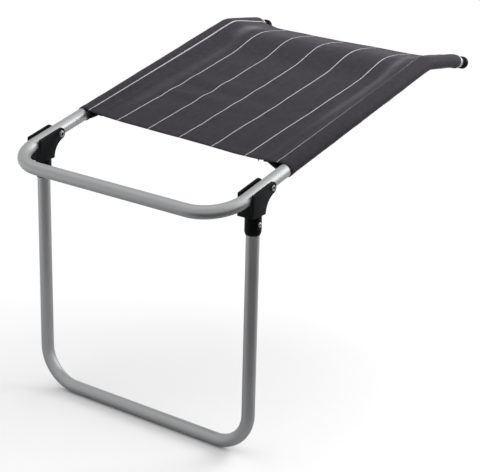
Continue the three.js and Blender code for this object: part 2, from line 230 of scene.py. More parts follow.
@dataclass
class FrameLines:
    """Sizes of the two bent frames, and the axes that follow from them."""

    width: float = 440 * MM
    seat_height: float = 457 * MM
    slope: float = math.radians(11.3)
    front_reach: float = 87.5 * MM
    side_reach: float = 531 * MM
    tail_reach: float = 115 * MM
    tail_drop: float = math.radians(19.9)
    droop_reach: float = 27 * MM
    tail_droop: float = math.radians(6.5)
    corner_radius: float = 65 * MM
    tail_radius: float = 60 * MM
    droop_radius: float = 80 * MM
    tube_radius: float = 11 * MM
    pivot_setback: float = 29 * MM
    leg_top: float = 429.3 * MM

    @property
    def half_width(self) -> float:
        """From the middle to a side tube's axis."""
        return self.width / 2

    @property
    def pivot(self) -> Vector:
        """The hinge axis, in the middle of the foot rest."""
        rise = self.pivot_setback * math.tan(self.slope)
        return Vector((0, self.pivot_setback, self.seat_height + rise))

    def seat(self) -> BentLine:
        """The seat frame's axis.

        Returns:
            Half of the front bar, a corner, a side tube, its back bend and its drooping tail.
        """
        tilt = Matrix.Rotation(self.slope, 3, "X")
        along, normal = tilt @ Y_AXIS, tilt @ Z_AXIS
        bend_cut = self.tail_radius * math.tan(self.tail_drop / 2)
        droop_cut = self.droop_radius * math.tan(self.tail_droop / 2)
        straight = self.front_reach + self.side_reach - self.corner_radius - bend_cut
        start = Vector((0, 0, self.seat_height)) - along * self.front_reach
        return (
            BentLine(start, X_AXIS)
            .feed(self.half_width - self.corner_radius)
            .bend(self.corner_radius, math.pi / 2, normal)
            .feed(straight)
            .bend(self.tail_radius, self.tail_drop, -X_AXIS)
            .feed(self.tail_reach - self.droop_reach - bend_cut - droop_cut)
            .bend(self.droop_radius, self.tail_droop, -X_AXIS)
            .feed(self.droop_reach - droop_cut)
        )

    def legs(self) -> BentLine:
        """The leg frame's axis.

        Returns:
            Half of the floor bar, a corner and a leg.
        """
        return (
            BentLine(Vector((0, 0, self.tube_radius)), X_AXIS)
            .feed(self.half_width - self.corner_radius)
            .bend(self.corner_radius, math.pi / 2, -Y_AXIS)
            .feed(self.leg_top - self.tube_radius - self.corner_radius)
        )

    def leg_plane_run(self, line: BentLine) -> float:
        """Run along the seat frame at which the plane of the legs crosses the side tube."""
        return line.stretches[2].start + self.front_reach - self.corner_radius


# Meshes


def picked(items: list, kind: type) -> list:
    """The items of one kind among what a bmesh operator made."""
    return [item for item in items if isinstance(item, kind)]


def put(name: str, data: bpy.types.ID) -> bpy.types.Object:
    """Puts an object into the scene.

    Args:
        name: Its name.
        data: Its mesh, camera or light.

    Returns:
        The object, at the origin.
    """
    made = bpy.data.objects.new(name, data)
    bpy.context.scene.collection.objects.link(made)
    return made


def finish_mesh(
    name: str, bm: bmesh.types.BMesh, material: Material, sharp_above: float = SHARP_ABOVE
) -> bpy.types.Object:
    """Makes a smooth-shaded object of a bmesh.

    Args:
        name: The piece's name.
        bm: Its mesh, which is freed.
        material: Its finish.
        sharp_above: Edges that turn by more than this many degrees stay sharp.

    Returns:
        The object, at the origin.
    """
    mesh = bpy.data.meshes.new(name)
    bm.to_mesh(mesh)
    bm.free()
    mesh.materials.append(material)
    mesh.shade_smooth()
    mesh.set_sharp_from_angle(angle=math.radians(sharp_above))
    return put(name, mesh)


def settle(piece: bpy.types.Object, body: Body, slot: Slot, *nodes: str) -> None:
    """Makes a piece ride on its body and stand for its nodes.

    Args:
        piece: The finished piece.
        body: The body that it moves with.
        slot: The record's slot of its finish, which is not used.
        nodes: The nodes that it replaces.
    """
    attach(piece, body.value)
    if nodes:
        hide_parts(*nodes)
    log.info("%s: %d faces", piece.name, len(piece.data.polygons))


@dataclass
class BentTube:
    """A round tube with a bore, swept along a bent line and its mirror image."""

    radius: float
    wall: float = 1.5 * MM
    sides: int = 56
    bend_step: float = math.radians(4)

    def mesh(self, line: BentLine) -> bmesh.types.BMesh:
        """Sweeps the tube.

        Args:
            line: The right half of its axis.

        Returns:
            The closed mesh of the whole tube.
        """
        bm = bmesh.new()
        start = Matrix.Translation(line.stretches[0].point) @ Matrix.Rotation(math.pi / 2, 4, "Y")
        for radius in (self.radius, self.radius - self.wall):
            bmesh.ops.create_circle(bm, segments=self.sides, radius=radius, matrix=start)
        front = list(bm.edges)
        for piece in line.stretches:
            if piece.turn:
                arc = {"cent": piece.centre, "axis": piece.axis, "angle": piece.turn}
                steps = math.ceil(piece.turn / self.bend_step)
                made = bmesh.ops.spin(bm, geom=front, steps=steps, **arc)
                front = picked(made["geom_last"], Edge)
            else:
                made = bmesh.ops.extrude_edge_only(bm, edges=front)
                front = picked(made["geom"], Edge)
                step = piece.heading * piece.length
                bmesh.ops.translate(bm, vec=step, verts=picked(made["geom"], Vert))
        bmesh.ops.bridge_loops(bm, edges=front)
        every = bm.verts[:] + bm.edges[:] + bm.faces[:]
        bmesh.ops.mirror(bm, geom=every, matrix=Matrix.Identity(4), axis="X", merge_dist=MERGE)
        bmesh.ops.recalc_face_normals(bm, faces=bm.faces[:])
        return bm


def turned_mesh(
    profile: Profile, centre: Vector, axis: Vector, sides: int = 40
) -> bmesh.types.BMesh:
    """Turns a profile round an axis, as on a lathe.

    Args:
        profile: Corners as (radius, place along the axis). A closed ring repeats its first corner.
        centre: The point on the axis from which places are counted.
        axis: Direction of the axis.
        sides: Steps of the full turn.

    Returns:
        The closed mesh.
    """
    bm = bmesh.new()
    frame_there = facing(centre, axis)
    closed = profile[0] == profile[-1]
    corners = profile[:-1] if closed else profile
    verts = [bm.verts.new(frame_there @ Vector((radius, 0, at))) for radius, at in corners]
    ends = zip(verts, verts[1:] + verts[:1]) if closed else zip(verts, verts[1:])
    edges = [bm.edges.new(pair) for pair in ends]
    spun = {"cent": centre, "axis": axis, "angle": math.tau, "steps": sides, "use_merge": True}
    bmesh.ops.spin(bm, geom=verts + edges, **spun)
    bmesh.ops.remove_doubles(bm, verts=bm.verts[:], dist=MERGE)
    bmesh.ops.recalc_face_normals(bm, faces=bm.faces[:])
    return bm


# Shader groups


class NodeSheet:
    """A node tree that is written one node at a time."""

    def __init__(self, tree: bpy.types.NodeTree) -> None:
        """Wraps a tree."""
        self.tree = tree

    @property
    def here(self) -> Socket:
        """The place in the piece's own frame."""
        return self.add("ShaderNodeTexCoord").outputs["Object"]

    def fill(self, node: Node, inputs: dict) -> None:
        """Fills a node's inputs.

        Args:
            node: The node.
            inputs: Values or output sockets, by the input's name or number.
        """
        for key, value in inputs.items():
            if isinstance(value, Socket):
                self.tree.links.new(value, node.inputs[key])
            else:
                node.inputs[key].default_value = value

    def add(self, kind: str, inputs: dict | None = None, **settings: object) -> Node:
        """Adds a node.

        Args:
            kind: Its bl_idname.
            inputs: Values or output sockets for its inputs, by name or number.
            settings: Properties of the node.

        Returns:
            The node.
        """
        made = self.tree.nodes.new(kind)
        for name, value in settings.items():
            setattr(made, name, value)
        self.fill(made, inputs or {})
        return made

    def math(self, operation: str, *values: object) -> Socket:
        """Adds a Math node and returns its output."""
        inputs = dict(enumerate(values))
        return self.add("ShaderNodeMath", inputs, operation=operation).outputs[0]

    def vector(self, operation: str, *values: object) -> Socket:
        """Adds a Vector Math node and returns its output, or its number where it gives one."""
        made = self.add("ShaderNodeVectorMath", dict(enumerate(values)), operation=operation)
        return made.outputs["Value" if operation in ("LENGTH", "DOT_PRODUCT") else "Vector"]

    def tint(self, colour: object, factor: object) -> Socket:
        """Multiplies a colour by a number."""
        inputs = {0: colour, 3: factor}
        return self.add("ShaderNodeVectorMath", inputs, operation="SCALE").outputs["Vector"]

    def clamp(self, value: object) -> Socket:
        """Keeps a number between 0 and 1."""
        return self.add("ShaderNodeClamp", {0: value}).outputs[0]

    def noise(self, where: object, scale: object, detail: float = 2.0) -> Socket:
        """Adds a Noise Texture and returns its value."""
        inputs = {"Vector": where, "Scale": scale, "Detail": detail}
        return self.add("ShaderNodeTexNoise", inputs).outputs["Fac"]

    def relief(self, height: object, distance: float, strength: float) -> Socket:
        """Adds a Bump node and returns its normal."""
        inputs = {"Height": height, "Distance": distance, "Strength": strength}
        return self.add("ShaderNodeBump", inputs).outputs["Normal"]

    def group(self, effect: Effect, inputs: dict) -> bpy.types.NodeOutputs:
        """Adds a shared group with its values and returns its outputs."""
        tree = bpy.data.node_groups[effect.value]
        return self.add("ShaderNodeGroup", inputs, node_tree=tree).outputs

    def blend(self, share: object, first: object, second: object) -> Socket:
        """Mixes two colours, from the first at a share of 0 to the second at 1."""
        inputs = {0: share, 6: first, 7: second}
        return self.add("ShaderNodeMix", inputs, data_type="RGBA").outputs[2]

    def ease(
        self, value: object, low: float, high: float, first: float = 0.0, last: float = 1.0
    ) -> Socket:
        """Eases from a first number to a last one while a value goes from low to high."""
        inputs = dict(zip(MAP_RANGE, (value, low, high, first, last)))
        return self.add("ShaderNodeMapRange", inputs, interpolation_type="SMOOTHSTEP").outputs[0]


def new_group(
    effect: Effect, inputs: dict[str, object], outputs: list[str]
) -> tuple[NodeSheet, dict[str, Socket], Node]:
    """Starts a shader group.

    Args:
        effect: The group.
        inputs: Default values by name.
        outputs: Names. "Color" is a colour, and all others are numbers, as among the inputs.

    Returns:
        The group's sheet, its input sockets by name and its output node.
    """
    tree = bpy.data.node_groups.new(effect.value, "ShaderNodeTree")
    for way, names in (("INPUT", list(inputs)), ("OUTPUT", outputs)):
        for key in names:
            kind = "NodeSocketColor" if key == "Color" else "NodeSocketFloat"
            socket = tree.interface.new_socket(name=key, in_out=way, socket_type=kind)
            if way == "INPUT":
                socket.default_value = inputs[key]
    sheet = NodeSheet(tree)
    given = sheet.add("NodeGroupInput").outputs
    return sheet, {key: given[key] for key in inputs}, sheet.add("NodeGroupOutput")


def uneven_tone_group() -> None:
    """Soft patches and fine specks that vary a colour and a roughness a little."""
    inputs = {"Color": (0.5, 0.5, 0.5, 1), "Roughness": 0.5, "Roughness Spread": 0.1}
    inputs.update({"Tone": 0.1, "Patch Scale": 20.0, "Speck Scale": 900.0})
    outputs = ["Color", "Roughness", "Specks"]
    sheet, given, result = new_group(Effect.UNEVEN, inputs, outputs)
    where = sheet.here
    patch = sheet.noise(where, given["Patch Scale"], detail=3.0)
    speck = sheet.noise(where, given["Speck Scale"])
    speck_share = 0.35
    both = sheet.math("MULTIPLY", patch, 1 - speck_share)
    both = sheet.math("MULTIPLY_ADD", speck, speck_share, both)
    swing = sheet.math("MULTIPLY_ADD", both, 2.0, -1.0)
    factor = sheet.math("MULTIPLY_ADD", swing, given["Tone"], 1.0)
    rough = sheet.math("MULTIPLY_ADD", swing, given["Roughness Spread"], given["Roughness"])
    tinted = sheet.tint(given["Color"], factor)
    sheet.fill(result, {"Color": tinted, "Roughness": sheet.clamp(rough), "Specks": speck})


def edge_wear_group() -> None:
    """A mask of handled edges, from how sharply the surface turns there."""
    inputs = {"Amount": 0.5, "Break Up": 400.0}
    sheet, given, result = new_group(Effect.WEAR, inputs, ["Mask"])
    flat_level, steepness = 0.52, 12.0
    pointed = sheet.add("ShaderNodeNewGeometry").outputs["Pointiness"]
    edge = sheet.math("MULTIPLY", sheet.math("SUBTRACT", pointed, flat_level), steepness)
    patches = sheet.noise(sheet.here, given["Break Up"], detail=4.0)
    mask = sheet.math("MULTIPLY", sheet.math("MULTIPLY", edge, patches), given["Amount"])
    sheet.fill(result, {"Mask": sheet.clamp(mask)})


def plain_weave_group() -> None:
    """Over and under yarns of a plain weave, laid along the cloth's own UV in metres."""
    inputs = {"U": 0.0, "V": 0.0, "Pitch": MM}
    sheet, given, result = new_group(Effect.WEAVE, inputs, ["Height"])
    crossing_share, yarn_share = 0.3, 0.35
    half_turn = sheet.math("DIVIDE", math.pi, given["Pitch"])
    along = sheet.math("SINE", sheet.math("MULTIPLY", given["V"], half_turn))
    across = sheet.math("SINE", sheet.math("MULTIPLY", given["U"], half_turn))
    yarn = sheet.math("ADD", sheet.math("ABSOLUTE", across), sheet.math("ABSOLUTE", along))
    yarn = sheet.math("MULTIPLY", yarn, yarn_share)
    over = sheet.math("MULTIPLY", along, across)
    sheet.fill(result, {"Height": sheet.math("MULTIPLY_ADD", over, crossing_share, yarn)})


def start_material(name: str) -> tuple[Material, NodeSheet, Node]:
    """Makes a material with a plain shader.

    Args:
        name: The finish's name.

    Returns:
        The material, its sheet and its shader node.
    """
    material = bpy.data.materials.new(name)
    material.use_nodes = True
    sheet = NodeSheet(material.node_tree)
    return material, sheet, material.node_tree.nodes["Principled BSDF"]


# Finishes


@dataclass(frozen=True)
class Finish:
    """A finish whose tone and roughness vary from place to place, over a fine grain.

    Scales are in cycles per metre. Tone and roughness_spread say how far the colour and the
    roughness swing, and wear how much of the handled edges shows the worn colour.
    """

    name: str
    colour: Colour
    roughness: float
    worn: Colour | None = None
    wear: float = 0.0
    patch_scale: float = 20.0
    speck_scale: float = 900.0
    tone: float = 0.1
    roughness_spread: float = 0.1
    grain_height: float = 0.0
    grain_strength: float = 0.5
    metalness: float = 0.0
    specular: float = 0.5

    @property
    def shine(self) -> dict[str, object]:
        """The shader's values that are the same everywhere."""
        return {"Metallic": self.metalness, "Specular IOR Level": self.specular}

    def ground(self, sheet: NodeSheet) -> object:
        """The colour before its tone varies.

        Args:
            sheet: The material's sheet.

        Returns:
            The colour or its socket.
        """
        if self.worn is None:
            return self.colour
        wear = sheet.group(Effect.WEAR, {"Amount": self.wear})
        return sheet.blend(wear["Mask"], self.colour, self.worn)

    def grain(self, sheet: NodeSheet, specks: Socket) -> Socket:
        """The height of the grain, which is that of the specks."""
        return specks

    def material(self) -> Material:
        """Builds the finish.

        Returns:
            The material.
        """
        material, sheet, shader = start_material(self.name)
        inputs = {
            "Color": self.ground(sheet),
            "Roughness": self.roughness,
            "Patch Scale": self.patch_scale,
            "Speck Scale": self.speck_scale,
            "Tone": self.tone,
            "Roughness Spread": self.roughness_spread,
        }
        uneven = sheet.group(Effect.UNEVEN, inputs)
        looks = {"Base Color": uneven["Color"], "Roughness": uneven["Roughness"], **self.shine}
        if self.grain_height:
            height = self.grain(sheet, uneven["Specks"])
            looks["Normal"] = sheet.relief(height, self.grain_height, self.grain_strength)
        sheet.fill(shader, looks)
        return material


@dataclass(frozen=True)
class AnodisedTube(Finish):
    """Satin anodised aluminium with fine drawing lines."""

    name: str = "Anodised tube"
    colour: Colour = (0.395, 0.398, 0.402, 1)
    roughness: float = 0.46
    metalness: float = 0.9
    patch_scale: float = 14.0
    speck_scale: float = 1500.0
    tone: float = 0.09
    roughness_spread: float = 0.12
    grain_height: float = 0.006 * MM


@dataclass(frozen=True)
class MouldedPlastic(Finish):
    """Black moulded plastic with a fine spark-eroded grain and worn edges."""

    name: str = "Moulded plastic"
    colour: Colour = (0.0042, 0.0046, 0.0052, 1)
    roughness: float = 0.46
    worn: Colour | None = (0.024, 0.026, 0.028, 1)
    wear: float = 0.8
    specular: float = 0.07
    patch_scale: float = 60.0
    speck_scale: float = 2200.0
    tone: float = 0.25
    roughness_spread: float = 0.16
    grain_height: float = 0.05 * MM
    grain_strength: float = 0.6


@dataclass(frozen=True)
class RivetMetal(Finish):
    """Dull rivet metal with worn edges and painted shade inside its bores.

    Bores are (a point on the axis, radius) for each kind of rivet.
    """

    name: str = "Rivet metal"
    colour: Colour = (0.3, 0.308, 0.325, 1)
    roughness: float = 0.48
    worn: Colour | None = (0.48, 0.48, 0.5, 1)
    wear: float = 0.9
    metalness: float = 1.0
    patch_scale: float = 250.0
    speck_scale: float = 2600.0
    tone: float = 0.18
    roughness_spread: float = 0.2
    # painted shade: the dark colour painted inside the bores
    bore: Colour = (0.015, 0.015, 0.016, 1)
    bores: tuple[tuple[Vector, float], ...] = ()

    def ground(self, sheet: NodeSheet) -> Socket:
        """The metal's colour, with painted shade inside the bores.

        Args:
            sheet: The material's sheet.

        Returns:
            The colour's socket.
        """
        inside: object = 0.0
        for centre, radius in self.bores:
            off = sheet.vector("MULTIPLY", sheet.vector("SUBTRACT", sheet.here, centre), (0, 1, 1))
            near = sheet.math("LESS_THAN", sheet.vector("LENGTH", off), radius)
            inside = sheet.math("MAXIMUM", inside, near)
        # paints shade inside the bores
        return sheet.blend(inside, super().ground(sheet), self.bore)


@dataclass(frozen=True)
class SlingWeave(Finish):
    """Charcoal woven polyester with thin pale stripes, and painted sheen over its seam allowances.

    It is laid out on the cloth's UV map in metres. Stripes are (distance from the cloth's middle,
    width, paleness). Painted sheen bands, a lighter colour where light catches the cloth, are
    (distance from the middle, start and end along the cloth, share). The painted light ramp is the
    tone's factor at the front hem and at the back hem, lighter towards the back as painted light.
    """

    name: str = "Sling weave"
    colour: Colour = (0.0448, 0.0432, 0.0505, 1)
    roughness: float = 0.6
    specular: float = 0.03
    patch_scale: float = 110.0
    speck_scale: float = 1300.0
    tone: float = 0.42
    roughness_spread: float = 0.08
    grain_height: float = 0.16 * MM
    warm: Colour = (0.0505, 0.0441, 0.05, 1)
    warm_scale: float = 9.0
    stripe: Colour = (0.72, 0.72, 0.76, 1)
    # painted sheen: the lighter colour of the bands where light catches the cloth
    painted_sheen: Colour = (0.115, 0.113, 0.126, 1)
    stripes: tuple[tuple[float, float, float], ...] = (
        (-204.5 * MM, 1.6 * MM, 0.72),
        (-139 * MM, 1.55 * MM, 0.86),
        (-69.5 * MM, 1.5 * MM, 0.86),
        (0.0, 1.5 * MM, 0.86),
        (69.5 * MM, 1.5 * MM, 0.86),
        (139 * MM, 1.5 * MM, 0.86),
        (204.5 * MM, 1.2 * MM, 0.84),
    )
    # painted sheen bands over the seam allowances, and a painted highlight at the left back bend
    painted_sheen_bands: tuple[tuple[float, float, float, float], ...] = (
        (-162 * MM, 10 * MM, 340 * MM, 0.42),
        (-172 * MM, 370 * MM, 430 * MM, 2.2),
        (176 * MM, 130 * MM, 400 * MM, 0.9),
        (174 * MM, 350 * MM, 390 * MM, 1.0),
    )
    painted_sheen_reach: float = 18 * MM
    painted_sheen_fade: float = 90 * MM
    # painted light: the tone's factor at the front and back hems, lighter towards the back
    fading: tuple[float, float] = (0.94, 1.28)
    painted_light_length: float = 560 * MM
    yarn_pitch: float = 0.75 * MM
    yarn_base: float = 0.75
    yarn_contrast: float = 0.22
    streak_scale: Place = (130, 5, 0)
    sheen: float = 0.15
    sheen_roughness: float = 0.22
    sheen_tint: Colour = (0.92, 0.94, 1, 1)

    @property
    def shine(self) -> dict[str, object]:
        """The shader's values that are the same everywhere, with the yarns' sheen."""
        sheen = {"Sheen Weight": self.sheen, "Sheen Roughness": self.sheen_roughness}
        return {**super().shine, **sheen, "Sheen Tint": self.sheen_tint}

    def flat(self, sheet: NodeSheet) -> tuple[Socket, Socket, Socket]:
        """The place on the flat cloth.

        Args:
            sheet: The material's sheet.

        Returns:
            The place, its distance from the cloth's middle and its distance along the cloth.
        """
        where = sheet.add("ShaderNodeUVMap", uv_map="cut").outputs[0]
        apart = sheet.add("ShaderNodeSeparateXYZ", {0: where}).outputs
        return where, apart[0], apart[1]

    def painted_sheen_share(self, sheet: NodeSheet) -> Socket:
        """The mask of the painted sheen bands.

        Args:
            sheet: The material's sheet.

        Returns:
            The mask's socket.
        """
        _, across, along = self.flat(sheet)
        total: object = 0.0
        for place, start, end, share in self.painted_sheen_bands:
            off = sheet.math("ABSOLUTE", sheet.math("SUBTRACT", across, place))
            band = sheet.ease(off, self.painted_sheen_reach, 0.0)
            band = sheet.math("MULTIPLY", band, sheet.ease(along, start, start + self.painted_sheen_fade))
            band = sheet.math("MULTIPLY", band, sheet.ease(along, end + self.painted_sheen_fade, end))
            total = sheet.math("MULTIPLY_ADD", band, share, total)
        return total

    def stripe_share(self, sheet: NodeSheet) -> Socket:
        """The mask of the woven stripes.

        Args:
            sheet: The material's sheet.

        Returns:
            The mask's socket.
        """
        _, across, _ = self.flat(sheet)
        total: object = 0.0
        for place, width, paleness in self.stripes:
            line = sheet.math("COMPARE", across, place, width / 2)
            total = sheet.math("MULTIPLY_ADD", line, paleness, total)
        return total

    def weave(self, sheet: NodeSheet) -> Socket:
        """Adds the weave and returns the height of its yarns."""
        _, u, v = self.flat(sheet)
        return sheet.group(Effect.WEAVE, {"U": u, "V": v, "Pitch": self.yarn_pitch})["Height"]

    def grain(self, sheet: NodeSheet, specks: Socket) -> Socket:
        """The height of the grain, which is that of the yarns."""
        return self.weave(sheet)

    def ground(self, sheet: NodeSheet) -> Socket:
        """The dyed and striped yarns, with painted sheen and painted light.

        Args:
            sheet: The material's sheet.

        Returns:
            The colour's socket.
        """
        where, _, along = self.flat(sheet)
        streaks = sheet.noise(sheet.vector("MULTIPLY", where, self.streak_scale), 1.0)
        # painted sheen and highlight, broken up by the streaks
        painted_sheen = sheet.math("MULTIPLY", self.painted_sheen_share(sheet), streaks)
        dyed = sheet.blend(sheet.noise(where, self.warm_scale), self.colour, self.warm)
        dyed = sheet.blend(painted_sheen, dyed, self.painted_sheen)
        dyed = sheet.blend(self.stripe_share(sheet), dyed, self.stripe)
        height = self.weave(sheet)
        shade = sheet.math("MULTIPLY_ADD", height, self.yarn_contrast, self.yarn_base)
        shade = sheet.math("MULTIPLY_ADD", streaks, self.yarn_contrast, shade)
        # painted light: the tone grows lighter from the front hem to the back hem
        painted_light = dict(zip(MAP_RANGE, (along, 0.0, self.painted_light_length, *self.fading)))
        painted_light = sheet.add("ShaderNodeMapRange", painted_light).outputs[0]
        return sheet.tint(dyed, sheet.math("MULTIPLY", shade, painted_light))


@dataclass(frozen=True)
class SewingThread(Finish):
    """Dark twisted polyester thread."""

    name: str = "Sewing thread"
    colour: Colour = (0.03, 0.029, 0.032, 1)
    roughness: float = 0.6
    tone: float = 0.2
    lit: Colour = (0.09, 0.088, 0.094, 1)
    twist_scale: float = 800.0

    def ground(self, sheet: NodeSheet) -> Socket:
        """The thread's colour, lit along its twist.

        Args:
            sheet: The material's sheet.

        Returns:
            The colour's socket.
        """
        inputs = {"Vector": sheet.here, "Scale": self.twist_scale}
        bands = {"wave_type": "BANDS", "bands_direction": "DIAGONAL"}
        twist = sheet.add("ShaderNodeTexWave", inputs, **bands).outputs["Fac"]
        return sheet.blend(twist, self.colour, self.lit)


# Sub-assemblies


@dataclass
class Tubes:
    """The seat frame and the leg frame, drawn and bent from one round tube."""

    lines: FrameLines

    def build(self, material: Material) -> None:
        """Makes both tubes.

        Args:
            material: The tubes' finish.
        """
        maker = BentTube(self.lines.tube_radius)
        for name, line, body, node in (
            ("seat_tube", self.lines.seat(), Body.SEAT, "seat_frame_tube"),
            ("leg_tube", self.lines.legs(), Body.LEGS, "leg_frame_tube"),
        ):
            settle(finish_mesh(name, maker.mesh(line), material), body, Slot.TUBE, node)


@dataclass
class Hinge:
    """A moulded bracket with its pivot rivet, washer and socket rivet, on one side.

    The angles are in degrees: the bracket's faces are joined below flat_below and its edges are
    rounded above round_above, and the rivets' edges look soft up to soft_above.
    """

    lines: FrameLines
    side: Side
    half_bracket: float = 16 * MM
    gap: float = 0.3 * MM
    rivet_shank: float = 3 * MM
    rivet_bore: float = 2.1 * MM
    rivet_head: float = 5 * MM
    rivet_head_height: float = 1.6 * MM
    rolled_end: float = 4.5 * MM
    washer_edge: float = 6 * MM
    washer_thickness: float = 1 * MM
    pin_shank: float = 2.4 * MM
    pin_bore: float = 1.2 * MM
    pin_head: float = 4.5 * MM
    pin_head_height: float = 1.5 * MM
    pin_height: float = 409.3 * MM
    pin_seat: float = 13.05 * MM
    pin_inside: float = 9.2 * MM
    edge_round: float = 0.35 * MM
    flat_below: float = 1
    round_above: float = 34
    soft_above: float = 50

    @property
    def out(self) -> Vector:
        """The outward direction on this side."""
        return X_AXIS * self.side.value

    @property
    def bores(self) -> tuple[tuple[Vector, float], ...]:
        """A point on the axis and the radius of the pivot rivet's and the socket rivet's bore."""
        pivot, pin = self.lines.pivot, Z_AXIS * self.pin_height
        return (pivot, self.rivet_bore + self.gap), (pin, self.pin_bore + self.gap / 2)

    def bracket(self, material: Material) -> None:
        """The bracket: its node's own shape with every edge rounded as moulded ones are.

        Args:
            material: Its finish.
        """
        node = f"hinge_bracket_{self.side.label}"
        bm = bmesh.new()
        bm.from_mesh(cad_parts[node].data)
        bmesh.ops.remove_doubles(bm, verts=bm.verts[:], dist=MERGE)
        flat, turning = math.radians(self.flat_below), math.radians(self.round_above)
        bmesh.ops.dissolve_limit(bm, angle_limit=flat, verts=bm.verts[:], edges=bm.edges[:])
        edges = [e for e in bm.edges if e.is_manifold and e.calc_face_angle() > turning]
        rounding = {"offset_type": "OFFSET", "affect": "EDGES", "segments": 2, "profile": 0.5}
        rounding.update({"clamp_overlap": True, "material": -1})
        bmesh.ops.bevel(bm, geom=edges, offset=self.edge_round, **rounding)
        piece = finish_mesh(f"bracket_{self.side.label}", bm, material)
        settle(piece, Body.LEGS, Slot.PLASTIC, node)

    def pivot_rivet(self) -> Profile:
        """The pivot rivet: a domed ring outside, a rolled lip inside and a bore right through.

        Returns:
            Its profile, with places counted outwards from the side tube's axis. The corners of
            the dome and of the rolled lip are in shares of half the head's height.
        """
        outside = self.half_bracket + self.gap
        inside = -outside - self.gap - self.washer_thickness
        lip = self.rivet_head_height / 2
        top = outside + self.rivet_head_height
        mid_head = (self.rivet_head + self.rivet_bore) / 2
        return [
            (self.rivet_shank, inside),
            (self.rivet_shank, outside),
            (self.rivet_head - lip / 4, outside),
            (self.rivet_head, outside + lip / 4),
            (self.rivet_head, outside + lip * 0.7),
            (self.rivet_head - lip / 2, outside + lip * 1.3),
            (mid_head + lip, top - lip / 5),
            (mid_head, top),
            (mid_head - lip, top - lip / 8),
            (self.rivet_bore + lip / 2, outside + lip * 1.4),
            (self.rivet_bore + lip / 8, outside + lip),
            (self.rivet_bore, outside + lip / 2),
            (self.rivet_bore, inside - lip / 2),
            (self.rivet_bore + lip / 3, inside - lip * 1.3),
            (self.rivet_bore + lip, inside - lip * 2),
            (self.rivet_shank + lip, inside - lip * 1.9),
            (self.rolled_end, inside - lip * 1.2),
            (self.rolled_end, inside - lip / 4),
            (self.rolled_end - lip / 4, inside),
            (self.rivet_shank, inside),
        ]

    def washer(self) -> Profile:
        """The washer under the rivet's rolled end, with its edges broken.

        Returns:
            Its profile, with places counted outwards from the side tube's axis.
        """
        near = -self.half_bracket - self.gap
        far = near - self.washer_thickness
        hole = self.rivet_shank + self.gap
        broken = self.washer_thickness / 5
        return [
            (hole, near),
            (self.washer_edge - broken, near),
            (self.washer_edge, near - broken),
            (self.washer_edge, far + broken),
            (self.washer_edge - broken, far),
            (hole + broken, far),
            (hole, far + broken),
            (hole, near),
        ]

    def socket_rivet(self) -> Profile:
        """The blind rivet that holds the leg tube in its socket.

        Returns:
            Its profile, with places counted outwards from the leg's axis.
        """
        seat, inside = self.pin_seat, self.pin_inside
        top = seat + self.pin_head_height
        broken = self.pin_head_height / 5
        return [
            (self.pin_shank, inside),
            (self.pin_shank, seat),
            (self.pin_head, seat),
            (self.pin_head, seat + broken),
            (self.pin_head - 2 * broken, seat + 2.4 * broken),
            (self.pin_head - 5 * broken, top - broken / 2),
            (self.pin_shank, top),
            (self.pin_bore + broken, top - broken / 2),
            (self.pin_bore, top - 2 * broken),
            (self.pin_bore, inside),
            (self.pin_shank, inside),
        ]

    def build(self, plastic: Material, metal: Material) -> None:
        """Makes the bracket and its metal pieces.

        Args:
            plastic: The bracket's finish.
            metal: The finish of the rivets and the washer.
        """
        self.bracket(plastic)
        beside = self.out * self.lines.half_width
        pivot, pin = beside + self.lines.pivot, beside + Z_AXIS * self.pin_height
        label = self.side.label
        for name, node, profile, centre, sharp_above in (
            ("pivot_ring", "pivot_rivet", self.pivot_rivet(), pivot, self.soft_above),
            ("washer", "pivot_washer", self.washer(), pivot, SHARP_ABOVE),
            ("socket_pin", "socket_rivet", self.socket_rivet(), pin, self.soft_above),
        ):
            bm = turned_mesh(profile, centre, self.out)
            piece = finish_mesh(f"{name}_{label}", bm, metal, sharp_above)
            settle(piece, Body.LEGS, Slot.RIVET, f"{node}_{label}")


@dataclass
class EndPlug:
    """The moulded plug in a side tube's open end: a neck in the bore and a round head."""

    lines: FrameLines
    side: Side
    shank: float = 9.2 * MM
    shank_length: float = 22 * MM
    neck_length: float = 13 * MM
    head: float = 11.2 * MM
    length: float = 27 * MM
    dome: float = 6 * MM
    lead_in: float = 1 * MM
    dome_steps: int = 12
    sides: int = 56

    def build(self, material: Material) -> None:
        """Makes the plug.

        Args:
            material: Its finish.
        """
        line = self.lines.seat()
        point, heading = line.pose(line.length)
        point.x *= self.side.value
        rim_at, soft = self.length - self.dome, self.lead_in / 3
        turns = (math.pi / 2 * i / self.dome_steps for i in range(self.dome_steps))
        profile = [
            (0.0, -self.shank_length),
            (self.shank - self.lead_in, -self.shank_length),
            (self.shank, self.lead_in - self.shank_length),
            (self.shank, self.neck_length - soft),
            (self.shank + soft, self.neck_length),
            (self.head - self.lead_in, self.neck_length),
            (self.head - soft, self.neck_length + soft),
            (self.head, self.neck_length + self.lead_in),
            *((self.head * math.cos(t), rim_at + self.dome * math.sin(t)) for t in turns),
            (0.0, self.length),
        ]
        bm = turned_mesh(profile, point, heading, self.sides)
        piece = finish_mesh(f"tube_plug_{self.side.label}", bm, material)
        settle(piece, Body.SEAT, Slot.PLASTIC, f"end_plug_{self.side.label}")


def waver(x: float, run: float, scales: Place) -> float:
    """Smooth noise over the cloth, with its scales in x and along the run and its own place."""
    return noise.noise(Vector((x * scales[0], run * scales[1], scales[2])))


